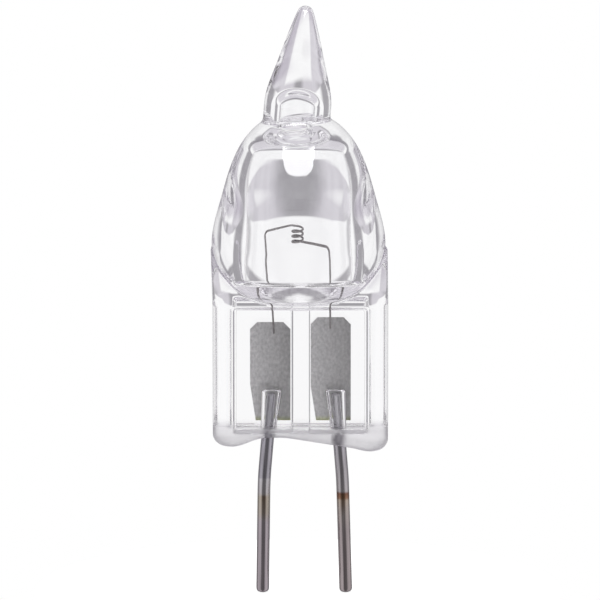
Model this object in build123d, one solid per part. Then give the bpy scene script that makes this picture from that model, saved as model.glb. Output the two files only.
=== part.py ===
from build123d import *
import os
from math import cos, pi, radians, sin, tan

# Halogen capsule bulb with two pins: a thick quartz bulb, sealed off in a leaning tip at the top
# and pinched flat at the foot, where two thin foils join the filament to the contact pins.
# Millimetres, +Z up, front towards -Y. The origin lies on the bulb's axis at the foot of the glass.

# Bulb, outside: rings of the blown body, from the crown to the toe
crown_z = 17.5
crown_slope = 0.15
shoulder_radius = 3.3
shoulder_drop = 2.3
flank_radius = 4.11
belly_radius = 4.6
belly_rise = 3.1
heel_radius = 3.5
heel_rise = 0.85
toe_z = 7.3

# Bulb, inside: the glass between those rings and the cavity, which stands on a flat floor
crown_wall = 1.45
shoulder_wall = 1.08
shoulder_sink = 0.25
flank_wall = 1.31
belly_wall = 1.87
floor_wall = 1.55
floor_draw = 0.28
floor_slope = 0.25
floor_corner = 0.3

# Tip: the exhaust tube, drawn out and melted shut, leaning to the right
tip_x = -0.12
tip_sink = 0.6
tip_lean = 4.8
tip_radius = 1.77
tip_straight = 0.9
tip_waist_radius = 1.36
tip_waist = 2.83
tip_length = 6.22
tip_end_radius = 0.44
tip_end_slope = 20.0
tip_root = 1.0
neck_blend = 0.4
neck_hole_radius = 0.7
neck_hole_drop = 0.4
tip_bore_radius = 0.95
tip_bore_length = 1.75
tip_bore_flare = 0.25

# Pinch: a round-edged slab with a window of two panels in each face, and a web up to the belly
pinch_width = 9.3
pinch_thickness = 2.9
pinch_shift = 0.1
column_round = 1.1
column_width = 1.14
panel_thickness = 2.1
rib_thickness = 2.6
rib_width = 0.9
rib_shift = 0.03
panel_corner = 0.3
panel_draft = 25.0
panel_gap = 0.2
lip_height = 0.5
web_width = 9.36
web_shift = 0.03
web_drop = 0.8
web_rise = 0.1
web_inset = 0.1
web_thickness = 2.2
web_round = 0.85

# Foot of the pinch: two rounded feet and a base line that falls to the right
base_height = 0.1
left_foot_drop = 0.38
right_foot_drop = 0.64
foot_margin = 0.25
foot_run = 1.1
base_knee = 1.25
base_fall = 0.5
right_foot_run = 0.3
foot_blend = 0.8
base_blend = 2.0
right_foot_blend = 0.6
foot_round = 0.65
crossing_edge = 0.03

# Foils: thin strips sealed in the middle of the pinch
foil_width = 2.14
foil_thickness = 0.03
foil_corner = 0.38
foil_bottom = 0.95
foil_taper = 0.3
foil_taper_top = 2.9
left_foil_x = -1.5
left_foil_gap = 0.86
right_foil_x = 1.7
right_foil_gap = 0.6

# Pins: each leans inside the glass, bends below it and ends rounded
pin_radius = 0.34
pin_top = 2.48
pin_bend = -2.2
pin_end = -8.34
pin_bend_radius = 20.0
pin_end_round = 0.22
pin_top_round = 0.1
pin_weld = 0.02
left_pin_x = -1.64
left_pin_lean = -4.9
left_pin_splay = -0.75
right_pin_x = 2.16
right_pin_lean = 4.6
right_pin_splay = 1.7

# Pocket of air that the glass leaves round the top of each pin
pocket_clearance = 0.05
pocket_radius = 0.56
pocket_head = 0.22
pocket_bevel = 0.14

# Filament: one wire, with an upright coil between two legs
wire_radius = 0.05
coil_radius = 0.285
coil_pitch = 0.22
coil_turns = 3
coil_x = -0.05
coil_rise = 0.51
left_leg_offset = 0.2
left_leg_knee_x = -1.46
left_leg_knee_rise = 1.0
left_leg_corner_x = -1.86
left_leg_dip = 0.25
leg_lead = 0.35
right_leg_offset = -0.01
right_leg_corner_x = 1.65
leg_weld = 0.03
leg_weld_length = 0.62
knee_bend = 1.0
corner_bend = 0.22
lead_bend = 0.5

# Sizes that follow from those above
shoulder_z = crown_z - shoulder_drop
belly_z = toe_z + belly_rise
flank_z = (shoulder_z + belly_z) / 2
heel_z = toe_z + heel_rise
tip_z = crown_z - tip_sink
cavity_radius = belly_radius - belly_wall
floor_radius = cavity_radius - floor_draw
floor_z = toe_z + floor_wall
pinch_left = pinch_shift - pinch_width / 2
pinch_right = pinch_shift + pinch_width / 2
window_left = pinch_left + column_width
window_right = pinch_right - column_width
left_foot_end = pinch_left + column_round + foot_margin
right_foot_end = pinch_right - column_round - foot_margin
rib_left = pinch_shift + rib_shift - rib_width / 2
rib_right = rib_left + rib_width
panel_top = toe_z - panel_gap
left_foil_top = panel_top - left_foil_gap
right_foil_top = panel_top - right_foil_gap
coil_top = belly_z + coil_rise
foil_face = -foil_thickness / 2
pin_y = foil_face - pin_radius + pin_weld
leg_y = foil_face - wire_radius + leg_weld


def turned(*edges):
    """A solid of revolution about Z from a closed outline drawn as radius and height."""
    return revolve(Plane.XZ * make_face(edges), Axis.Z)


def on_tip(solid):
    """Carry a solid from the upright at the origin to the leaning axis of the tip."""
    return Pos(tip_x, 0, tip_z) * Rot(0, tip_lean, 0) * solid


def bulb_body():
    """The outside of the bulb: shoulder, flank and belly, and a rounded bottom down to the toe."""
    dome = Spline(
        (0, crown_z), (shoulder_radius, shoulder_z), (flank_radius, flank_z), (belly_radius, belly_z),
        tangents=((1, -crown_slope), (0, -1)),
    )
    bottom = Spline(
        (belly_radius, belly_z), (heel_radius, heel_z), (0, toe_z), tangents=((0, -1), (-1, 0)),
    )
    return turned(dome, bottom, Line((0, toe_z), (0, crown_z)))


def tip_body():
    """The tip: a short straight tube, a long convex taper and a round end."""
    slope = radians(tip_end_slope)
    end_z = tip_length - tip_end_radius
    start = (tip_radius, tip_straight)
    join = (tip_end_radius * cos(slope), end_z + tip_end_radius * sin(slope))
    side = Polyline((0, tip_length), (0, -tip_root), (tip_radius, -tip_root), start)
    waist = (tip_waist_radius, tip_waist)
    taper = Spline(start, waist, join, tangents=((0, 1), (-sin(slope), cos(slope))))
    end = CenterArc((0, end_z), tip_end_radius, tip_end_slope, 90 - tip_end_slope)
    return on_tip(turned(side, taper, end))


def bulb_with_tip():
    """The bulb and its tip fused, with a blend round the neck."""
    bulb = bulb_body()
    tip = tip_body()
    body = bulb + tip
    return fillet(new_edges(bulb, tip, combined=body), neck_blend)


def foot_outline():
    """The pinch seen from the front, wide at the sides, with its feet and falling base line."""
    left = pinch_left - pinch_thickness
    right = pinch_right + pinch_thickness
    points = [
        (left, panel_top),
        (left, -left_foot_drop),
        (left_foot_end, -left_foot_drop),
        (left_foot_end + foot_run, base_height),
        (left_foot_end + foot_run + base_knee, base_height),
        (right_foot_end - right_foot_run, -base_fall),
        (right_foot_end, -right_foot_drop),
        (right, -right_foot_drop),
        (right, panel_top),
    ]
    blends = [0, foot_blend, foot_blend, base_blend, right_foot_blend, right_foot_blend, 0]
    line = FilletPolyline(*points, radius=blends)
    return make_face(line.edges() + [Line(points[-1], points[0])])


def runs_along_foot(edge):
    """True for an edge between the underside of the pinch and its faces or round sides."""
    box = edge.bounding_box()
    return box.max.Z < lip_height and box.size.X > crossing_edge


def pinch_section(shift, z, width, thickness, corner):
    """The pressed glass cut across at one height, flat in front and behind and round at its sides."""
    return Plane.XY.offset(z) * Pos(shift, 0) * RectangleRounded(width, thickness, corner)


def pinch_slab():
    """The pressed slab: round sides, and an underside with rounded edges."""
    bottom = -left_foot_drop - right_foot_drop
    foot = pinch_section(pinch_shift, bottom, pinch_width, pinch_thickness, column_round)
    slab = extrude(foot, panel_top - bottom)
    slab = slab & extrude(Plane.XZ * foot_outline(), pinch_thickness, both=True)
    return fillet(slab.edges().filter_by(runs_along_foot), foot_round)


def recess(left, right, thickness):
    """What the press leaves out of both faces, with drafted walls and round corners."""
    middle = Pos((left + right) / 2, (lip_height + panel_top) / 2)
    sketch = middle * RectangleRounded(right - left, panel_top - lip_height, panel_corner)
    front = extrude(Plane.XZ.offset(thickness / 2) * sketch, pinch_thickness, taper=-panel_draft)
    return front + mirror(front, about=Plane.XZ)


def pinch_windows():
    """The windows in the faces: one from column to column, and a deeper panel on each side of the rib."""
    window = recess(window_left, window_right, rib_thickness)
    left_panel = recess(window_left, rib_left, panel_thickness)
    right_panel = recess(rib_right, window_right, panel_thickness)
    return window + left_panel + right_panel


def web():
    """The pressed glass above the slab: thinner upwards, a little proud of the belly, then back into it."""
    low = pinch_section(pinch_shift, panel_top, pinch_width, pinch_thickness, column_round)
    middle = pinch_section(web_shift, belly_z - web_drop, web_width, web_thickness, web_round)
    high = pinch_section(0, belly_z + web_rise, 2 * (belly_radius - web_inset), web_thickness, web_round)
    return loft([low, middle], ruled=True) + loft([middle, high], ruled=True)


def cavity():
    """The hollow of the bulb: a dome above, drawn in a little towards a flat floor with a round corner."""
    top = (0, crown_z - crown_wall)
    wall = Spline(
        top,
        (shoulder_radius - shoulder_wall, shoulder_z - shoulder_sink),
        (flank_radius - flank_wall, flank_z),
        (cavity_radius, belly_z),
        (floor_radius, floor_z),
        tangents=((1, 0), (-floor_slope, -1)),
    )
    hollow = turned(wall, Polyline((floor_radius, floor_z), (0, floor_z), top))
    rim = hollow.edges().filter_by(GeomType.CIRCLE).sort_by(Axis.Z)[0]
    return fillet(rim, floor_corner)


def tip_bore():
    """The hole from the cavity into the tip, wider in the tip and closed by a dome."""
    start = tip_sink - crown_wall - neck_hole_radius
    dome_z = tip_bore_length - tip_bore_radius
    wall = Polyline(
        (0, tip_bore_length), (0, start), (neck_hole_radius, start), (neck_hole_radius, -neck_hole_drop),
        (tip_bore_radius, tip_bore_flare - neck_hole_drop), (tip_bore_radius, dome_z),
    )
    return on_tip(turned(wall, CenterArc((0, dome_z), tip_bore_radius, 0, 90)))


def foil(x, top):
    """A thin strip in the middle plane, with its upper corners cut off and its left edge cut back below."""
    left = x - foil_width / 2
    right = x + foil_width / 2
    outline = Polyline(
        (left + foil_taper, foil_bottom), (right, foil_bottom),
        (right, top - foil_corner), (right - foil_corner, top),
        (left + foil_corner, top), (left, top - foil_corner), (left, foil_taper_top),
        close=True,
    )
    return extrude(Plane.XZ * make_face(outline), foil_thickness / 2, both=True)


def pin_axis(x, lean):
    """The line of a pin's upper run, as a plane with Z along it, at the height of the base."""
    return Plane(origin=(x, pin_y, 0), x_dir=(0, -1, 0), z_dir=(-sin(radians(lean)), 0, cos(radians(lean))))


def pin_points(x, lean, splay):
    """The top, the bend and the lower end of a pin's centre line."""
    bend_x = x - pin_bend * tan(radians(lean))
    return [
        (x - pin_top * tan(radians(lean)), pin_y, pin_top),
        (bend_x, pin_y, pin_bend),
        (bend_x + (pin_bend - pin_end) * tan(radians(splay)), pin_y, pin_end),
    ]


def rod(path, radius):
    """A round rod along straight runs and arcs."""
    pieces = []
    for edge in path.edges():
        section = Plane(origin=edge @ 0, z_dir=edge % 0) * Circle(radius)
        if edge.geom_type == GeomType.LINE:
            pieces.append(extrude(section, edge.length))
        else:
            pieces.append(sweep(section, path=edge))
    return Part() + pieces


def pin(x, lean, splay, strip):
    """A contact pin with rounded ends and a flat where it is welded to its foil."""
    body = rod(FilletPolyline(*pin_points(x, lean, splay), radius=pin_bend_radius), pin_radius)
    ends = body.edges().filter_by(GeomType.CIRCLE).sort_by(Axis.Z)
    body = fillet(ends[0], pin_end_round)
    ends = body.edges().filter_by(GeomType.CIRCLE).sort_by(Axis.Z)
    body = fillet(ends[-1], pin_top_round)
    return body - strip


def pin_pocket(x, lean, strip_x):
    """The air round a pin: snug at the base, wider at its top, and in front of the foil only."""
    top = (pin_top + pocket_head) / cos(radians(lean))
    bottom = -left_foot_drop - right_foot_drop
    snug = pin_radius + pocket_clearance
    outline = Polyline(
        (0, bottom), (snug, bottom), (snug, -left_foot_drop), (pocket_radius, top - pocket_bevel),
        (pocket_radius - pocket_bevel, top), (0, top),
        close=True,
    )
    pocket = pin_axis(x, lean).location * turned(outline)
    behind = Pos(strip_x, pinch_thickness / 2, foil_bottom + pin_top) * Box(
        foil_width, pinch_thickness, 2 * pin_top
    )
    return pocket - behind


def filament(left_strip, right_strip):
    """The wire from the right foil up to the coil, round its turns and down to the left foil."""
    coil_height = coil_turns * coil_pitch
    rise = coil_pitch / (2 * pi * coil_radius)
    coil_bottom = coil_top - coil_height
    right_x = right_foil_x + right_leg_offset
    left_x = left_foil_x + left_leg_offset
    right_leg = FilletPolyline(
        (right_x, leg_y, right_foil_top - leg_weld_length),
        (right_leg_corner_x, leg_y, coil_bottom - rise * (right_leg_corner_x - coil_x)),
        (coil_x, leg_y, coil_bottom),
        radius=corner_bend,
    )
    coil = Pos(coil_x, leg_y - coil_radius, coil_bottom) * Rot(0, 0, 90) * Helix(
        coil_pitch, coil_height, coil_radius
    )
    left_leg = FilletPolyline(
        (coil_x, leg_y, coil_top),
        (coil_x - leg_lead, leg_y, coil_top + rise * leg_lead),
        (left_leg_corner_x, leg_y, coil_top - left_leg_dip),
        (left_leg_knee_x, leg_y, toe_z + left_leg_knee_rise),
        (left_x, leg_y, left_foil_top - leg_weld_length),
        radius=[lead_bend, corner_bend, knee_bend],
    )
    path = Wire(right_leg.edges() + coil.edges() + left_leg.edges())
    section = Plane(origin=path @ 0, z_dir=path % 0) * Circle(wire_radius)
    return sweep(section, path=path) - left_strip - right_strip


def glass_envelope(inserts, pockets):
    """The one piece of glass, with its cavity and the seats of everything sealed in it."""
    pinch = pinch_slab() - pinch_windows() + web()
    body = bulb_with_tip() + pinch
    return body - cavity() - tip_bore() - pockets - inserts


def main():
    left_strip = foil(left_foil_x, left_foil_top)
    right_strip = foil(right_foil_x, right_foil_top)
    wire = filament(left_strip, right_strip)
    pockets = [
        pin_pocket(left_pin_x, left_pin_lean, left_foil_x),
        pin_pocket(right_pin_x, right_pin_lean, right_foil_x),
    ]
    nodes = {
        "glass_envelope": glass_envelope([left_strip, right_strip, wire], pockets),
        "filament": wire,
        "left_foil": left_strip,
        "right_foil": right_strip,
        "left_pin": pin(left_pin_x, left_pin_lean, left_pin_splay, left_strip),
        "right_pin": pin(right_pin_x, right_pin_lean, right_pin_splay, right_strip),
    }
    os.makedirs("parts", exist_ok=True)
    for name, solid in nodes.items():
        export_step(solid, f"parts/{name}.step")


main()
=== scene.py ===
from math import cos, pi, radians, sin, tan

import bpy
import numpy as np
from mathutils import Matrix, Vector


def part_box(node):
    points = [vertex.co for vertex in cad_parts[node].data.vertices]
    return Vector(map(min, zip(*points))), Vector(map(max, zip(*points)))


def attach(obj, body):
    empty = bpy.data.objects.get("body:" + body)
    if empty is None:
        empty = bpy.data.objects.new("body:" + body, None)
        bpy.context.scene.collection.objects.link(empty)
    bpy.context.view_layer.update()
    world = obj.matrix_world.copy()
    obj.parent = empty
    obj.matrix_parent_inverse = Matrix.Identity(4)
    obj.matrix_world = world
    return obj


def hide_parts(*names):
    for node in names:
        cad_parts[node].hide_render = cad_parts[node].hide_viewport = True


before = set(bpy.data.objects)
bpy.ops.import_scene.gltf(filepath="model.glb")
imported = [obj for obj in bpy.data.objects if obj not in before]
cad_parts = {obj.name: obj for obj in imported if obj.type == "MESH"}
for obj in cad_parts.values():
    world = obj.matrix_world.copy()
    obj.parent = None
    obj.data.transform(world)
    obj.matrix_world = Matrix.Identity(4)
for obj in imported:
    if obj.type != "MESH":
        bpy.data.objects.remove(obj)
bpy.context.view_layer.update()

# Halogen capsule bulb: thick quartz glass over a coiled filament, sealing foils and two contact pins.
# Sizes are in millimetres and become metres where a mesh is made. The frame gives those it can.
MM = 0.001


def node_box(name):
    """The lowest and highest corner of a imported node, in millimetres."""
    low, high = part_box(name)
    return np.array(low) / MM, np.array(high) / MM


glass_low, glass_high = node_box("glass_envelope")
foil_bottom = node_box("left_foil")[0][2]
pin_end = node_box("left_pin")[0][2]

# Bulb, outside: (height, radius) of its rings above the belly, and a rounded bottom below it
belly_radius = glass_high[1]
belly_z = 10.4
bulb_rings = [(belly_z, belly_radius), (12.8, 4.11), (15.2, 3.32), (16.5, 2.43), (17.3, 1.15)]
bulb_top_slope = -2.6
toe_z = 7.3
bottom_width_power = 3.3
bottom_depth_power = 1.6
least_share = 1e-6
least_steepness = 0.1

# Cavity: its rings from the flat floor up, cut off by the crown
cavity_floor_z = 8.85
cavity_corner = 0.3
cavity_rings = [
    (cavity_floor_z, 2.78), (9.9, 2.83), (11.2, 2.86), (12.75, 2.86),
    (13.95, 2.76), (14.95, 2.5), (15.9, 2.02), (16.5, 1.38),
]
cavity_floor_slope = 0.05
cavity_crown_z = 16.1
cavity_crown_corner = 0.95
cavity_top_slope = -1.5

# Tip: along its own leaning axis
tip_x = -0.12
tip_z = 16.9
tip_lean = radians(4.8)
tip_end_radius = 0.44
tip_end_slope = radians(20)
tip_end = 5.78
tip_join = tip_end + tip_end_radius * sin(tip_end_slope)
tip_rings = [(0.9, 1.77), (2.83, 1.36), (tip_join, tip_end_radius * cos(tip_end_slope))]
tip_root = 1.0
neck_blend = 0.15
bore_rings = [(-0.4, 0.7), (-0.15, 0.95)]
bore_dome = 0.8
bore_root = 2.2
mouth_blend = 0.2

# Pinch: a slab with round sides, and a window of two panels and a rib in each face
pinch_centre = 0.1
pinch_half_width = 4.65
column_half = 1.45
rib_half = 1.3
panel_half = 1.05
window_left, window_right = -3.41, 3.61
rib_left, rib_right = -0.32, 0.58
panel_top = 7.1
lip_height = 0.5
window_edge = 0.2
rib_edge = 0.13
crease_blend = 0.12
foot_round = 0.65
matt_top = 0.95
base_line = [
    (-4.6, -0.38), (-3.25, -0.38), (-2.05, 0.08), (-0.7, 0.1), (3.1, -0.5), (3.5, -0.64), (4.8, -0.64),
]
base_smoothing = 0.3
smoothing_places = 7

# Web: the pressed glass above the slab, which loses thickness by (height, loss) rings
web_centre = 0.03
web_half_width = 4.68
web_top = 10.2
web_end = 10.3
web_levels = [panel_top, web_end]
web_rings = [(panel_top, 0.0), (7.7, 0.12), (web_end, 1.06)]
web_slope = 0.36
web_rounds = [1.1, 0.3]
web_edge = 0.15

# Pins and the pockets of air round their tops. Streak and tint run from the pin's end up to the glass.
pin_radius = 0.34
pin_y = -0.335
pin_top = 2.48
pin_bend = -2.2
pin_bend_radius = 20.0
pin_end_round = 0.22
pin_spacing = 0.06
pin_sides = 32
# The paler greys in each tint list, as on the pin's top inside the glass, are painted sheen; the browns are
# the tint that heat has left.
pins = {
    "left_pin": {
        "x": -1.64,
        "lean": radians(-4.9),
        "splay": radians(-0.75),
        "streak": [(0.47, 0), (0.52, 0.4), (0.625, 0.8), (0.64, 0)],
        "tint": [
            (0.0, (0.42, 0.38, 0.39)), (0.46, (0.44, 0.40, 0.41)), (0.52, (0.46, 0.42, 0.36)),
            (0.62, (0.48, 0.44, 0.36)), (0.65, (0.52, 0.50, 0.49)), (0.735, (0.56, 0.55, 0.55)),
            (0.75, (0.42, 0.41, 0.43)), (1.0, (0.45, 0.44, 0.47)),
        ],
    },
    "right_pin": {
        "x": 2.16,
        "lean": radians(4.6),
        "splay": radians(1.7),
        "streak": [(0.5, 0), (0.56, 0.6), (0.64, 1), (0.65, 0)],
        "tint": [
            (0.0, (0.43, 0.38, 0.37)), (0.4, (0.44, 0.39, 0.38)), (0.55, (0.52, 0.47, 0.42)),
            (0.6, (0.54, 0.47, 0.38)), (0.615, (0.34, 0.20, 0.13)), (0.645, (0.24, 0.13, 0.09)),
            (0.66, (0.50, 0.48, 0.47)), (1.0, (0.46, 0.45, 0.47)),
        ],
    },
}
streak_tint = (0.22, 0.13, 0.07)
streak_drop = 1.0
pocket_snug = 0.39
pocket_radius = 0.56
pocket_top = 2.7
pocket_round = 0.2
pocket_back = 0.0
pocket_step = 0.2

# Filament: one wire, with (x, height, bend radius) points of its legs
wire_radius = 0.05
wire_y = -0.035
wire_end_round = 0.02
wire_spacing = 0.025
wire_sides = 12
coil_x = -0.05
coil_radius = 0.285
coil_pitch = 0.22
coil_turns = 3
coil_top = 10.91
points_per_turn = 24
left_leg = [(-0.4, 10.95, 0.5), (-1.86, 10.66, 0.22), (-1.46, 8.3, 1.0), (-1.3, 5.62, 0.0)]
right_leg = [(1.69, 5.88, 0.0), (1.65, 10.041, 0.22)]
bend_points = 10

# Mesh of the glass: its grid, and how its points are drawn onto the surface
glass_step = 0.1
grid_margin = 0.25
settling_rounds = 4
weakest_slope = 0.2
longest_move = 0.5 * glass_step
shortest_move = 1e-9


def curve_through(knots, first_slope, last_slope):
    """A function that runs with even curvature through a few (place, value) knots, straight beyond them."""
    place, value = np.array(knots, float).T
    gap = np.diff(place)
    rise = np.diff(value) / gap
    system = np.eye(len(place))
    wanted = np.array([first_slope, *(3 * (rise[:-1] * gap[1:] + rise[1:] * gap[:-1])), last_slope])
    for i in range(1, len(place) - 1):
        system[i, i - 1:i + 2] = gap[i], 2 * (gap[i - 1] + gap[i]), gap[i - 1]
    slope = np.linalg.solve(system, wanted)

    def curve(at):
        inside = np.clip(at, place[0], place[-1])
        i = np.clip(np.searchsorted(place, inside) - 1, 0, len(gap) - 1)
        t = (inside - place[i]) / gap[i]
        level = value[i] * (1 - t) ** 2 * (1 + 2 * t) + value[i + 1] * t**2 * (3 - 2 * t)
        bend = gap[i] * t * (1 - t) * (slope[i] * (1 - t) - slope[i + 1] * t)
        beyond = np.where(at < place[0], slope[0], slope[-1]) * (at - inside)
        return level + bend + beyond

    return curve


bulb_radius = curve_through(bulb_rings, 0.0, bulb_top_slope)
hollow_radius = curve_through(cavity_rings, cavity_floor_slope, cavity_top_slope)
tip_radius = curve_through(tip_rings, 0.0, -tan(tip_end_slope))
web_thinning = curve_through(web_rings, 0.0, web_slope)


def smooth_step(t):
    """Rises from 0 to 1 as t goes from 0 to 1."""
    t = np.clip(t, 0, 1)
    return t * t * (3 - 2 * t)


def round_union(a, b, blend):
    """Two solids as one, with a hollow blend where they meet. A field is negative inside its solid."""
    near = np.hypot(np.maximum(blend - a, 0), np.maximum(blend - b, 0))
    return np.maximum(np.minimum(a, b), blend) - near


def round_common(a, b, edge):
    """What two solids share, with a rounded edge where their faces meet."""
    near = np.hypot(np.maximum(edge + a, 0), np.maximum(edge + b, 0))
    return np.minimum(np.maximum(a, b), -edge) + near


def turned(radius, place, profile, reach=1e-3):
    """Distance to a turned surface, from the radius and the place along its axis."""
    slope = (profile(place + reach) - profile(place - reach)) / (2 * reach)
    return (radius - profile(place)) / np.sqrt(1 + slope**2)


def bulb_field(x, y, z):
    """The blown body."""
    radius = np.hypot(x, y)
    dome = turned(radius, z, bulb_radius)
    across = np.maximum(radius / belly_radius, least_share)
    down = np.maximum((belly_z - z) / (belly_z - toe_z), least_share)
    level = across**bottom_width_power + down**bottom_depth_power
    steepness = np.hypot(
        bottom_width_power * across ** (bottom_width_power - 1) / belly_radius,
        bottom_depth_power * down ** (bottom_depth_power - 1) / (belly_z - toe_z),
    )
    return np.where(z > belly_z, dome, (level - 1) / np.maximum(steepness, least_steepness))


def tip_axes(x, y, z):
    """The place along the leaning axis of the tip, and the distance from it."""
    along = (x - tip_x) * sin(tip_lean) + (z - tip_z) * cos(tip_lean)
    aside = (x - tip_x) * cos(tip_lean) - (z - tip_z) * sin(tip_lean)
    return along, np.hypot(aside, y)


def tip_field(x, y, z):
    """The tube drawn out and melted shut."""
    along, radius = tip_axes(x, y, z)
    side = turned(radius, along, tip_radius)
    end = np.hypot(radius, along - tip_end) - tip_end_radius
    return np.maximum(np.where(along < tip_join, side, end), -tip_root - along)


def between(value, low, high, edge):
    """1 between two limits and 0 outside them, with a soft edge at each."""
    return smooth_step((value - low) / edge + 0.5) * smooth_step((high - value) / edge + 0.5)


def face_depth(x, z):
    """Half the thickness of the pinch: columns and lip, then the rib, then the panels."""
    across = between(x, window_left, window_right, window_edge)
    upright = between(z, lip_height, panel_top, window_edge)
    rib = between(x, rib_left, rib_right, rib_edge)
    return column_half - across * upright * (column_half - rib_half + (1 - rib) * (rib_half - panel_half))


def base_height(x):
    """Height of the underside of the pinch, smoothed along its width."""
    places, heights = np.array(base_line).T
    offsets = np.linspace(-base_smoothing, base_smoothing, smoothing_places)
    return sum(np.interp(x + offset, places, heights) for offset in offsets) / len(offsets)


def pinch_field(x, y, z):
    """The pressed foot and the web above it."""
    centre = np.interp(z, web_levels, [pinch_centre, web_centre])
    half_width = np.interp(z, web_levels, [pinch_half_width, web_half_width])
    edge = np.interp(z, web_levels, web_rounds)
    beyond_x = np.abs(x - centre) - (half_width - edge)
    beyond_y = np.abs(y) - (face_depth(x, z) - web_thinning(z) - edge)
    corner = np.hypot(np.maximum(beyond_x, 0), np.maximum(beyond_y, 0))
    sides = corner + np.minimum(np.maximum(beyond_x, beyond_y), 0) - edge
    slab = round_common(sides, base_height(x) - z, foot_round)
    return round_common(slab, z - web_top, web_edge)


def cavity_field(x, y, z):
    """The hollow of the bulb, with round corners at its floor and its crown."""
    hollow = round_common(turned(np.hypot(x, y), z, hollow_radius), cavity_floor_z - z, cavity_corner)
    return round_common(hollow, z - cavity_crown_z, cavity_crown_corner)


def bore_field(x, y, z):
    """The hole from the cavity into the tip, closed by a dome."""
    along, radius = tip_axes(x, y, z)
    (low, narrow), (high, wide) = bore_rings
    side = radius - narrow - (wide - narrow) * smooth_step((along - low) / (high - low))
    end = np.hypot(radius, along - bore_dome) - wide
    return np.maximum(np.where(along < bore_dome, side, end), -bore_root - along)


def pocket_field(x, y, z, pin):
    """The air round the top of a pin, flat at the back where the foil lies."""
    aside = (x - pin["x"] + z * tan(pin["lean"])) * cos(pin["lean"])
    widening = np.clip(z / pocket_top, 0, 1)
    side = np.hypot(aside, y - pin_y) - pocket_snug - (pocket_radius - pocket_snug) * widening
    back = y - pocket_back - pocket_radius * smooth_step((foil_bottom - z) / pocket_step)
    return round_common(np.maximum(side, back), z - pocket_top, pocket_round)


def glass_field(x, y, z):
    """The one piece of glass with its hollows."""
    body = round_union(bulb_field(x, y, z), tip_field(x, y, z), neck_blend)
    body = round_union(body, pinch_field(x, y, z), crease_blend)
    hollow = round_union(cavity_field(x, y, z), bore_field(x, y, z), mouth_blend)
    for pin in pins.values():
        hollow = np.minimum(hollow, pocket_field(x, y, z, pin))
    return np.maximum(body, -hollow)


def field_slope(field, points, reach=0.004):
    """Gradient of a field at some points."""
    columns = []
    for axis in np.eye(3) * reach:
        columns.append((field(*(points + axis).T) - field(*(points - axis).T)) / (2 * reach))
    return np.stack(columns, axis=1)


def net_points(value, axes, step):
    """One point in each grid cell that the surface passes through, and the cells' numbers."""
    inside = value < 0
    cells = tuple(n - 1 for n in value.shape)
    total = np.zeros(cells + (3,))
    count = np.zeros(cells)
    for axis in range(3):
        others = [k for k in range(3) if k != axis]
        for corner in range(4):
            offset = np.zeros(3, int)
            offset[others[0]], offset[others[1]] = corner & 1, corner >> 1
            ahead = offset + (np.arange(3) == axis)
            near = tuple(slice(o, o + n) for o, n in zip(offset, cells))
            far = tuple(slice(o, o + n) for o, n in zip(ahead, cells))
            crossing = inside[near] != inside[far]
            gap = np.where(crossing, value[near] - value[far], 1)
            share = np.where(crossing, value[near] / gap, 0)
            for k in range(3):
                total[..., k] += crossing * (share if k == axis else offset[k])
            count += crossing
    mixed_cells = count > 0
    number = np.full(cells, -1)
    number[mixed_cells] = np.arange(mixed_cells.sum())
    low = np.array([axis[0] for axis in axes])
    middle = total[mixed_cells] / count[mixed_cells][:, None]
    return low + step * (np.argwhere(mixed_cells) + middle), number


def net_faces(value, number):
    """A quad round each grid edge that the surface cuts, facing outwards."""
    inside = value < 0
    faces = []
    for axis in range(3):
        b, c = (axis + 1) % 3, (axis + 2) % 3
        before = [slice(1, -1)] * 3
        after = [slice(1, -1)] * 3
        before[axis], after[axis] = slice(0, -1), slice(1, None)
        starts, ends = inside[tuple(before)], inside[tuple(after)]
        for leaving in (True, False):
            cut = np.argwhere((starts != ends) & (starts == leaving))
            cut[:, b] += 1
            cut[:, c] += 1
            ring = [(0, 0), (-1, 0), (-1, -1), (0, -1)]
            corners = []
            for db, dc in ring if leaving else reversed(ring):
                cell = cut.copy()
                cell[:, b] += db
                cell[:, c] += dc
                corners.append(number[tuple(cell.T)])
            faces.append(np.stack(corners, axis=1))
    return np.concatenate(faces)


def mesh_of_field(name, field, low, high, step):
    """A closed smooth mesh of a field's zero surface, with its points and normals drawn onto the surface."""
    axes = [np.arange(a, b + step, step) for a, b in zip(low, high)]
    value = field(*np.meshgrid(*axes, indexing="ij"))
    points, number = net_points(value, axes, step)
    faces = net_faces(value, number)
    for _ in range(settling_rounds):
        slope = field_slope(field, points)
        move = field(*points.T)[:, None] * slope / np.maximum((slope**2).sum(1), weakest_slope**2)[:, None]
        length = np.linalg.norm(move, axis=1, keepdims=True)
        points = points - move * np.minimum(1, longest_move / np.maximum(length, shortest_move))
    normals = field_slope(field, points)
    normals /= np.linalg.norm(normals, axis=1, keepdims=True)
    mesh = bpy.data.meshes.new(name)
    mesh.from_pydata((points * MM).tolist(), [], faces.tolist())
    mesh.normals_split_custom_set_from_vertices(normals.tolist())
    return mesh


def new_node(tree, kind, **settings):
    """A node of a tree, with its settings."""
    node = tree.nodes.new(kind)
    for name, value in settings.items():
        setattr(node, name, value)
    return node


def maths(tree, operation, first, second=None, clamp=False):
    """An operation on one or two values, each a socket or a fixed number."""
    node = new_node(tree, "ShaderNodeMath", operation=operation, use_clamp=clamp)
    for socket, value in zip(node.inputs, (first, second)):
        if isinstance(value, bpy.types.NodeSocket):
            tree.links.new(value, socket)
        elif value is not None:
            socket.default_value = value
    return node.outputs[0]


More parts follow.
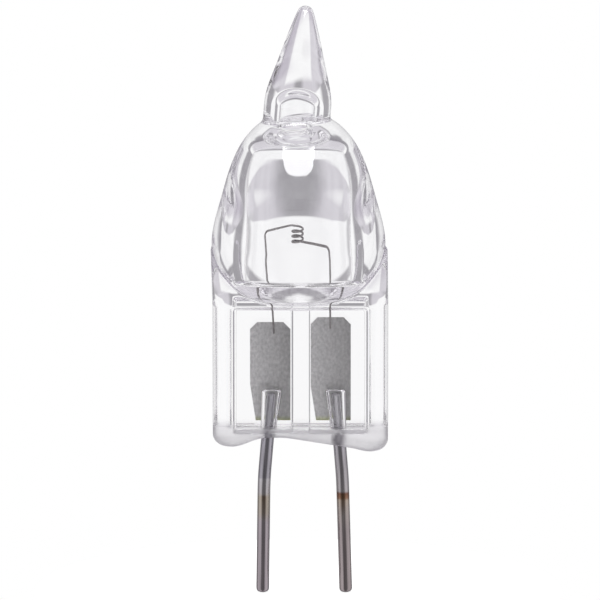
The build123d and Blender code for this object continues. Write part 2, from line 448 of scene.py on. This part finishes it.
def mixed(tree, factor, first, second, blend="MIX"):
    """Two colours mixed by a factor, each a socket or a fixed value."""
    node = new_node(tree, "ShaderNodeMix", data_type="RGBA", blend_type=blend)
    for name, value in (("Factor_Float", factor), ("A_Color", first), ("B_Color", second)):
        socket = next(s for s in node.inputs if s.identifier == name)
        if isinstance(value, bpy.types.NodeSocket):
            tree.links.new(value, socket)
        elif name == "Factor_Float":
            socket.default_value = value
        else:
            socket.default_value = (*value, 1)
    return next(s for s in node.outputs if s.identifier == "Result_Color")


def times(tree, first, second):
    """Two colours multiplied."""
    return mixed(tree, 1.0, first, second, "MULTIPLY")


def even(level):
    """A colour with the same level in all its channels."""
    return (level,) * 3


def ramp(tree, factor, stops, ease="LINEAR"):
    """A colour ramp with (place, colour) stops."""
    node = new_node(tree, "ShaderNodeValToRGB")
    node.color_ramp.interpolation = ease
    elements = node.color_ramp.elements
    while len(elements) < len(stops):
        elements.new(0.5)
    for element, (place, colour) in zip(elements, stops):
        element.position = place
        element.color = (*colour, 1)
    tree.links.new(factor, node.inputs["Fac"])
    return node.outputs["Color"]


def new_material(name):
    """A new material, its node tree and its main shader."""
    material = bpy.data.materials.new(name)
    material.use_nodes = True
    tree = material.node_tree
    return material, tree, tree.nodes["Principled BSDF"]


def object_noise(tree, stretch, detail=3.0):
    """Noise on object coordinates, with its grain per metre along each axis."""
    place = new_node(tree, "ShaderNodeTexCoord")
    mapping = new_node(tree, "ShaderNodeMapping")
    mapping.inputs["Scale"].default_value = stretch
    noise = new_node(tree, "ShaderNodeTexNoise")
    noise.inputs["Scale"].default_value = 1.0
    noise.inputs["Detail"].default_value = detail
    tree.links.new(place.outputs["Object"], mapping.inputs["Vector"])
    tree.links.new(mapping.outputs["Vector"], noise.inputs["Vector"])
    return noise.outputs["Fac"]


def add_bump(tree, shader, height, distance, strength=1.0):
    """Fine relief from a height, as deep as a distance in metres."""
    bump = new_node(tree, "ShaderNodeBump")
    bump.inputs["Strength"].default_value = strength
    bump.inputs["Distance"].default_value = distance
    tree.links.new(height, bump.inputs["Height"])
    tree.links.new(bump.outputs["Normal"], shader.inputs["Normal"])


def place_share(tree, axis, low, high):
    """How far a point lies between two places on an object axis, in millimetres, from 0 to 1."""
    place = new_node(tree, "ShaderNodeTexCoord")
    split = new_node(tree, "ShaderNodeSeparateXYZ")
    share = new_node(tree, "ShaderNodeMapRange")
    share.inputs["From Min"].default_value = low * MM
    share.inputs["From Max"].default_value = high * MM
    tree.links.new(place.outputs["Object"], split.inputs["Vector"])
    tree.links.new(split.outputs[axis], share.inputs["Value"])
    return share.outputs["Result"]


def quartz_material():
    """Clear fused quartz, faintly wavy, a little grey in its depth, matt at its foot, and greyed there by
    painted shade.
    """
    material, tree, shader = new_material("clear_quartz")
    shader.inputs["Transmission Weight"].default_value = 1.0
    shader.inputs["IOR"].default_value = 1.458
    waves = object_noise(tree, stretch=(900, 900, 260), detail=2.0)
    mottle = object_noise(tree, stretch=(2600, 2600, 1800))
    haze = ramp(tree, mottle, [(0.45, even(0.0)), (0.8, even(0.03))])
    foot = place_share(tree, "Z", glass_low[2], matt_top)
    matt = ramp(tree, foot, [(0.72, even(0.4)), (1.0, even(0.0))], "EASE")
    # painted shade: the glass is greyed towards its foot
    tone = ramp(tree, foot, [(0.72, (0.85, 0.84, 0.86)), (1.0, (0.985, 0.985, 0.99))], "EASE")
    tree.links.new(tone, shader.inputs["Base Color"])
    tree.links.new(mixed(tree, 1.0, haze, matt, "ADD"), shader.inputs["Roughness"])
    add_bump(tree, shader, waves, distance=0.00001, strength=0.6)
    depth = new_node(tree, "ShaderNodeVolumeAbsorption")
    depth.inputs["Color"].default_value = (0.82, 0.80, 0.84, 1)
    depth.inputs["Density"].default_value = 30.0
    tree.links.new(depth.outputs["Volume"], tree.nodes["Material Output"].inputs["Volume"])
    return material


def wire_material():
    """Dark drawn tungsten."""
    material, tree, shader = new_material("drawn_tungsten")
    grain = object_noise(tree, stretch=(9000, 9000, 4000))
    colour = ramp(tree, grain, [(0.3, (0.28, 0.26, 0.26)), (0.7, (0.48, 0.455, 0.455))])
    tree.links.new(colour, shader.inputs["Base Color"])
    shader.inputs["Metallic"].default_value = 0.8
    shader.inputs["Roughness"].default_value = 0.45
    add_bump(tree, shader, grain, distance=0.000004)
    return material


def foil_material(name, low, high):
    """Grey rolled foil with a fine grain, a painted sheen that makes it paler to the left, and tinted yellow
    along its lower edge.
    """
    material, tree, shader = new_material(name + "_finish")
    grain = object_noise(tree, stretch=(7000, 7000, 5000), detail=4.0)
    colour = ramp(tree, grain, [(0.25, (0.52, 0.515, 0.515)), (0.75, (0.82, 0.81, 0.81))])
    # painted sheen: the foil is lighter at its left side and darker at its right
    painted_sheen = ramp(tree, place_share(tree, "X", low[0], high[0]), [(0.0, even(1.15)), (1.0, even(0.7))])
    edge = ramp(tree, place_share(tree, "Z", low[2], high[2]), [(0.0, (0.75, 0.8, 0.45)), (0.05, even(1.0))])
    tree.links.new(times(tree, times(tree, colour, painted_sheen), edge), shader.inputs["Base Color"])
    shader.inputs["Metallic"].default_value = 0.6
    shader.inputs["Roughness"].default_value = 0.5
    add_bump(tree, shader, object_noise(tree, stretch=(3000, 3000, 2500)), distance=0.00002)
    return material


def pin_material(name, pin):
    """Grey drawn rod with streaks along it, the brown tint that heat has left below the glass, and paler
    greys of painted sheen.
    """
    material, tree, shader = new_material(name + "_finish")
    height = place_share(tree, "Z", pin_end, 0.0)
    middle = pin_path(pin)[1][0] + streak_drop * tan(pin["splay"])
    width = place_share(tree, "X", middle - pin_radius, middle + pin_radius)
    across = ramp(tree, width, [(0.2, even(0.0)), (0.5, even(1.0)), (0.8, even(0.0))])
    along = ramp(tree, height, [(at, even(level)) for at, level in pin["streak"]])
    # the tint ramp holds the heat's brown and, in its paler greys, painted sheen
    tone = mixed(tree, times(tree, across, along), ramp(tree, height, pin["tint"]), streak_tint)
    lines = object_noise(tree, stretch=(6000, 6000, 250))
    grain = ramp(tree, lines, [(0.3, even(0.75)), (0.7, even(1.15))])
    tree.links.new(times(tree, tone, grain), shader.inputs["Base Color"])
    shader.inputs["Metallic"].default_value = 1.0
    shader.inputs["Roughness"].default_value = 0.17
    add_bump(tree, shader, object_noise(tree, stretch=(9000, 9000, 400)), distance=0.000006)
    return material


def end_taper(tree, given):
    """The share of a wire's radius that is left at each point, less than 1 in its rounded ends."""
    place = new_node(tree, "GeometryNodeSplineParameter").outputs["Length"]
    whole = new_node(tree, "GeometryNodeSplineLength").outputs["Length"]
    inward = maths(tree, "MINIMUM", place, maths(tree, "SUBTRACT", whole, place))
    share = maths(tree, "DIVIDE", inward, given.outputs["End round"], clamp=True)
    back = maths(tree, "SUBTRACT", 1.0, share)
    arc = maths(tree, "SQRT", maths(tree, "SUBTRACT", 1.0, maths(tree, "MULTIPLY", back, back)))
    rounding = maths(tree, "DIVIDE", given.outputs["End round"], given.outputs["Radius"])
    return maths(tree, "SUBTRACT", 1.0, maths(tree, "MULTIPLY", rounding, maths(tree, "SUBTRACT", 1.0, arc)))


def wire_tree():
    """Geometry nodes that round the corners of a path and draw a wire along it, with rounded ends."""
    tree = bpy.data.node_groups.new("drawn_wire", "GeometryNodeTree")
    face = tree.interface
    face.new_socket("Path", in_out="INPUT", socket_type="NodeSocketGeometry")
    for name in ("Radius", "Spacing", "End round"):
        face.new_socket(name, in_out="INPUT", socket_type="NodeSocketFloat")
    face.new_socket("Sides", in_out="INPUT", socket_type="NodeSocketInt")
    face.new_socket("Finish", in_out="INPUT", socket_type="NodeSocketMaterial")
    face.new_socket("Wire", in_out="OUTPUT", socket_type="NodeSocketGeometry")
    given = new_node(tree, "NodeGroupInput")
    result = new_node(tree, "NodeGroupOutput")
    curve = new_node(tree, "GeometryNodeMeshToCurve")
    bend = new_node(tree, "GeometryNodeInputNamedAttribute", data_type="FLOAT")
    bend.inputs["Name"].default_value = "bend"
    corners = new_node(tree, "GeometryNodeFilletCurve", mode="POLY")
    corners.inputs["Count"].default_value = bend_points
    spaced = new_node(tree, "GeometryNodeResampleCurve", mode="LENGTH")
    ring = new_node(tree, "GeometryNodeCurvePrimitiveCircle", mode="RADIUS")
    drawn = new_node(tree, "GeometryNodeCurveToMesh")
    drawn.inputs["Fill Caps"].default_value = True
    smooth = new_node(tree, "GeometryNodeSetShadeSmooth")
    real = new_node(tree, "GeometryNodeRealizeInstances")
    finish = new_node(tree, "GeometryNodeSetMaterial")
    link = tree.links.new
    link(given.outputs["Path"], curve.inputs["Mesh"])
    link(curve.outputs["Curve"], corners.inputs["Curve"])
    link(bend.outputs["Attribute"], corners.inputs["Radius"])
    link(corners.outputs["Curve"], spaced.inputs["Curve"])
    link(given.outputs["Spacing"], spaced.inputs["Length"])
    link(spaced.outputs["Curve"], drawn.inputs["Curve"])
    link(given.outputs["Radius"], ring.inputs["Radius"])
    link(given.outputs["Sides"], ring.inputs["Resolution"])
    link(ring.outputs["Curve"], drawn.inputs["Profile Curve"])
    link(end_taper(tree, given), drawn.inputs["Scale"])
    link(drawn.outputs["Mesh"], smooth.inputs["Geometry"])
    link(smooth.outputs["Geometry"], real.inputs["Geometry"])
    link(real.outputs["Geometry"], finish.inputs["Geometry"])
    link(given.outputs["Finish"], finish.inputs["Material"])
    link(finish.outputs["Geometry"], result.inputs["Wire"])
    return tree


def set_inputs(modifier, **values):
    """Set a geometry tree's named inputs on its modifier."""
    for item in modifier.node_group.interface.items_tree:
        if item.in_out == "INPUT" and item.name in values:
            modifier[item.identifier] = values[item.name]


def new_piece(name, mesh, replaced):
    """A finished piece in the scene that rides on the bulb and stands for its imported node."""
    piece = bpy.data.objects.new(name, mesh)
    bpy.context.scene.collection.objects.link(piece)
    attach(piece, "root")
    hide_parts(replaced)


def drawn_wire(name, path, radius, spacing, end_round, sides, material):
    """The mesh of a wire along a path of (x, y, z, bend radius) points in millimetres."""
    mesh = bpy.data.meshes.new(name + "_path")
    points = np.array(path, float) * MM
    mesh.from_pydata(points[:, :3].tolist(), [(i, i + 1) for i in range(len(points) - 1)], [])
    mesh.attributes.new("bend", "FLOAT", "POINT").data.foreach_set("value", points[:, 3])
    carrier = bpy.data.objects.new(name + "_path", mesh)
    bpy.context.scene.collection.objects.link(carrier)
    modifier = carrier.modifiers.new("drawn_wire", "NODES")
    modifier.node_group = wire_nodes
    set_inputs(modifier, **{
        "Radius": radius * MM, "Spacing": spacing * MM, "End round": end_round * MM, "Sides": sides,
        "Finish": material,
    })
    graph = bpy.context.evaluated_depsgraph_get()
    drawn = bpy.data.meshes.new_from_object(carrier.evaluated_get(graph))
    drawn.name = name
    bpy.data.objects.remove(carrier)
    return drawn


def coil_points():
    """The turns of the coil from its foot to its head, with no corners to round."""
    points = []
    for i in range(coil_turns * points_per_turn + 1):
        turn = i / points_per_turn
        angle = pi / 2 + 2 * pi * turn
        x = coil_x + coil_radius * cos(angle)
        y = wire_y - coil_radius + coil_radius * sin(angle)
        points.append((x, y, coil_top - coil_pitch * (coil_turns - turn), 0.0))
    return points


def filament_path():
    """Right leg, coil and left leg."""
    right = [(x, wire_y, z, bend) for x, z, bend in right_leg]
    left = [(x, wire_y, z, bend) for x, z, bend in left_leg]
    return right + coil_points() + left


def pin_path(pin):
    """The top, the bend and the end of a pin."""
    bend_x = pin["x"] - pin_bend * tan(pin["lean"])
    return [
        (pin["x"] - pin_top * tan(pin["lean"]), pin_y, pin_top, 0.0),
        (bend_x, pin_y, pin_bend, pin_bend_radius),
        (bend_x + (pin_bend - pin_end) * tan(pin["splay"]), pin_y, pin_end, 0.0),
    ]


wire_nodes = wire_tree()

glass_mesh = mesh_of_field(
    "quartz_envelope", glass_field, glass_low - grid_margin, glass_high + grid_margin, glass_step
)
glass_mesh.materials.append(quartz_material())
new_piece("quartz_envelope", glass_mesh, "glass_envelope")

filament_mesh = drawn_wire(
    "coiled_filament", filament_path(), wire_radius, wire_spacing, wire_end_round, wire_sides, wire_material()
)
new_piece("coiled_filament", filament_mesh, "filament")

for pin_name, pin in pins.items():
    pin_finish = pin_material(pin_name, pin)
    pin_mesh = drawn_wire(
        "bent_" + pin_name, pin_path(pin), pin_radius, pin_spacing, pin_end_round, pin_sides, pin_finish
    )
    new_piece("bent_" + pin_name, pin_mesh, pin_name)

for foil_name in ("left_foil", "right_foil"):
    foil = bpy.data.objects[foil_name]
    foil.data.materials.clear()
    foil.data.materials.append(foil_material(foil_name, *node_box(foil_name)))


# Floor, camera and softboxes in metres, the sensor in millimetres, and places in the photograph in pixels
floor_radius = 0.014
floor_corners = 96
floor_glow = 0.72
view_elevation = radians(9.7)
view_distance = 0.45
picture_size = 600
picture_middle = picture_size / 2
axis_column = 298.5
foot_row = 437
pixels_per_mm = 18.87
pixel = MM / pixels_per_mm
view_centre = Vector((
    (picture_middle - axis_column) * pixel, 0, (foot_row - picture_middle) * pixel / cos(view_elevation)
))
sensor_width = 36.0
nearest_view = 0.01
light_bounces = 80
softboxes = {
    "left_softbox": {"place": (-0.22, -0.12, 0.22), "size": (0.12, 0.16), "power": 0.5},
    "right_softbox": {"place": (0.22, -0.10, 0.20), "size": (0.10, 0.16), "power": 0.4},
}

# Room that the glass shows: (share of an angle, level) stops of its grey fields, where a level of 1 is white
plain_light = 0.7
grey_tint = (1.0, 0.97, 1.03)
wall_sides = [(0.33, 1), (0.44, 0.36), (0.6, 0.36), (0.7, 1)]
wall_ends = [(0.9, 1), (0.97, 0.3)]
wall_ceiling = [(0.2, 1), (0.3, 0.7), (0.6, 0.7), (0.72, 1)]
wall_lean_start, wall_lean = 0.06, 2.6
wall_foot = [(0.145, 0), (0.16, 1)]
wall_sag_start, wall_sag = 0.15, 0.38
gap_greys = [
    (0.02, 0.36), (0.09, 0.66), (0.24, 0.66), (0.34, 0.5),
    (0.62, 0.5), (0.72, 0.75), (0.86, 0.75), (0.93, 0.3),
]
table_edge = [(0.25, 0), (0.275, 1)]
table_greys = [(0.19, 1), (0.23, 0.68), (0.42, 0.72), (0.55, 0.5)]
table_near = [(0.29, 1), (0.35, 0.75)]

# Room in mirrored light, and the lamp above its front
mirrored_greys = [(0.12, 0.2), (0.28, 0.8), (0.48, 0.8), (0.68, 0.35), (1.0, 0.35)]
lamp_level = 18.0
lamp_half_width, lamp_width_power = 0.41, 4.0
lamp_middle, lamp_drop, lamp_drop_power = 0.75, 0.23, 3.0
lamp_rim_middle = 0.5
lamp_rim = [(0.42, 1), (0.58, 0)]
lamp_top = [(0.83, 1), (0.87, 0)]
lamp_front = [(0.4, 1), (0.45, 0)]


def grey(level):
    """A grey of the studio, white at 1, with a faint violet tint below it."""
    return tuple(level * (tint if level < 1 else 1) for tint in grey_tint)


def greys(tree, factor, stops, ease="EASE"):
    """A ramp of the studio's greys from (place, level) stops."""
    return ramp(tree, factor, [(place, grey(level)) for place, level in stops], ease)


def past(tree, value, start, rate):
    """How far a value lies past a start, times a rate, and 0 before it."""
    return maths(tree, "MULTIPLY", maths(tree, "MAXIMUM", maths(tree, "SUBTRACT", value, start), 0.0), rate)


def ray_angles(tree):
    """Where a ray goes: its parts aside and up, and its angles from the depth, the level and the front."""
    place = new_node(tree, "ShaderNodeTexCoord")
    split = new_node(tree, "ShaderNodeSeparateXYZ")
    tree.links.new(place.outputs["Generated"], split.inputs["Vector"])
    side = maths(tree, "ABSOLUTE", split.outputs["X"])
    depth = maths(tree, "ABSOLUTE", split.outputs["Y"])
    front = maths(tree, "MULTIPLY", split.outputs["Y"], -1.0)
    height = maths(tree, "DIVIDE", maths(tree, "ARCSINE", split.outputs["Z"]), pi / 2)
    return {
        "side": side,
        "up": split.outputs["Z"],
        "turn": maths(tree, "DIVIDE", maths(tree, "ARCTAN2", side, depth), pi / 2),
        "height": height,
        "down": maths(tree, "MULTIPLY", height, -1.0),
        "facing": maths(tree, "DIVIDE", maths(tree, "ARCTAN2", side, front), pi),
    }


def room_through_glass(tree, ray):
    """A white wall with grey fields at its sides and above, a grey gap under it and a table in front."""
    spread = maths(tree, "ADD", ray["turn"], past(tree, ray["height"], wall_lean_start, wall_lean))
    wall = times(tree, greys(tree, spread, wall_sides), greys(tree, ray["height"], wall_ceiling))
    wall = times(tree, wall, greys(tree, ray["turn"], wall_ends))
    table = times(tree, greys(tree, ray["turn"], table_greys), greys(tree, ray["down"], table_near))
    on_table = greys(tree, ray["down"], table_edge, "LINEAR")
    low = mixed(tree, on_table, greys(tree, ray["turn"], gap_greys), table)
    sunk = maths(tree, "SUBTRACT", ray["down"], past(tree, ray["turn"], wall_sag_start, wall_sag))
    return mixed(tree, greys(tree, sunk, wall_foot, "LINEAR"), wall, low)


def mirrored_room(tree, ray):
    """A darker room, with one bright lamp with a rounded lower edge."""
    room = greys(tree, ray["facing"], mirrored_greys)
    across = maths(tree, "POWER", maths(tree, "DIVIDE", ray["side"], lamp_half_width), lamp_width_power)
    short = maths(tree, "MAXIMUM", maths(tree, "SUBTRACT", lamp_middle, ray["up"]), 0.0)
    below = maths(tree, "POWER", maths(tree, "DIVIDE", short, lamp_drop), lamp_drop_power)
    outward = maths(tree, "MULTIPLY", maths(tree, "ADD", across, below), lamp_rim_middle)
    lamp = greys(tree, outward, lamp_rim, "LINEAR")
    lamp = times(tree, lamp, greys(tree, ray["up"], lamp_top, "LINEAR"))
    lamp = times(tree, lamp, greys(tree, ray["facing"], lamp_front, "LINEAR"))
    return mixed(tree, lamp, room, even(lamp_level))


def make_world():
    """White for the camera, the room for rays that glass bends or mirrors, and plain light for the rest."""
    world = bpy.data.worlds.new("studio")
    world.use_nodes = True
    bpy.context.scene.world = world
    tree = world.node_tree
    ray = ray_angles(tree)
    path = new_node(tree, "ShaderNodeLightPath").outputs
    room = mixed(tree, path["Is Transmission Ray"], mirrored_room(tree, ray), room_through_glass(tree, ray))
    in_room = maths(tree, "MAXIMUM", path["Is Glossy Ray"], path["Is Transmission Ray"])
    shown = mixed(tree, in_room, even(plain_light), room)
    colour = mixed(tree, path["Is Camera Ray"], shown, even(1.0))
    tree.links.new(colour, tree.nodes["Background"].inputs["Color"])


def make_floor():
    """A pale round table top that shows white and keeps a soft shadow."""
    turns = np.linspace(0, 2 * pi, floor_corners + 1)[:-1]
    rim = [(floor_radius * cos(a), floor_radius * sin(a), pin_end * MM) for a in turns]
    mesh = bpy.data.meshes.new("floor")
    mesh.from_pydata(rim, [], [list(range(len(rim)))])
    floor = bpy.data.objects.new("floor", mesh)
    floor.visible_glossy = False
    bpy.context.scene.collection.objects.link(floor)
    material, tree, shader = new_material("pale_floor")
    shader.inputs["Base Color"].default_value = (0.45, 0.45, 0.45, 1)
    shader.inputs["Roughness"].default_value = 0.9
    shader.inputs["Specular IOR Level"].default_value = 0.0
    shader.inputs["Emission Color"].default_value = (1, 1, 1, 1)
    path = new_node(tree, "ShaderNodeLightPath").outputs
    seen = maths(tree, "MAXIMUM", path["Is Camera Ray"], path["Is Transmission Ray"])
    tree.links.new(maths(tree, "MULTIPLY", seen, floor_glow), shader.inputs["Emission Strength"])
    mesh.materials.append(material)


def make_softbox(name, place, size, power):
    """A soft light that faces the bulb and shows in no mirrored or bent ray."""
    data = bpy.data.lights.new(name, "AREA")
    data.shape = "RECTANGLE"
    data.size, data.size_y = size
    data.energy = power
    lamp = bpy.data.objects.new(name, data)
    lamp.location = place
    lamp.rotation_euler = (view_centre - Vector(place)).to_track_quat("-Z", "Y").to_euler()
    lamp.visible_glossy = False
    lamp.visible_transmission = False
    bpy.context.scene.collection.objects.link(lamp)


def make_camera():
    """The photograph's view: from the front and a little above, with a long lens."""
    data = bpy.data.cameras.new("camera")
    data.sensor_width = sensor_width
    data.lens = sensor_width * view_distance / (picture_size * pixel)
    data.clip_start = nearest_view
    camera = bpy.data.objects.new("camera", data)
    back = Vector((0, -cos(view_elevation), sin(view_elevation)))
    camera.location = view_centre + back * view_distance
    camera.rotation_euler = back.to_track_quat("Z", "Y").to_euler()
    bpy.context.scene.collection.objects.link(camera)
    bpy.context.scene.camera = camera


make_world()
make_floor()
for softbox_name, softbox in softboxes.items():
    make_softbox(softbox_name, **softbox)
make_camera()

scene = bpy.context.scene
scene.view_settings.view_transform = "Standard"
scene.cycles.max_bounces = light_bounces
scene.cycles.transmission_bounces = light_bounces
scene.cycles.glossy_bounces = light_bounces
scene.cycles.caustics_reflective = False
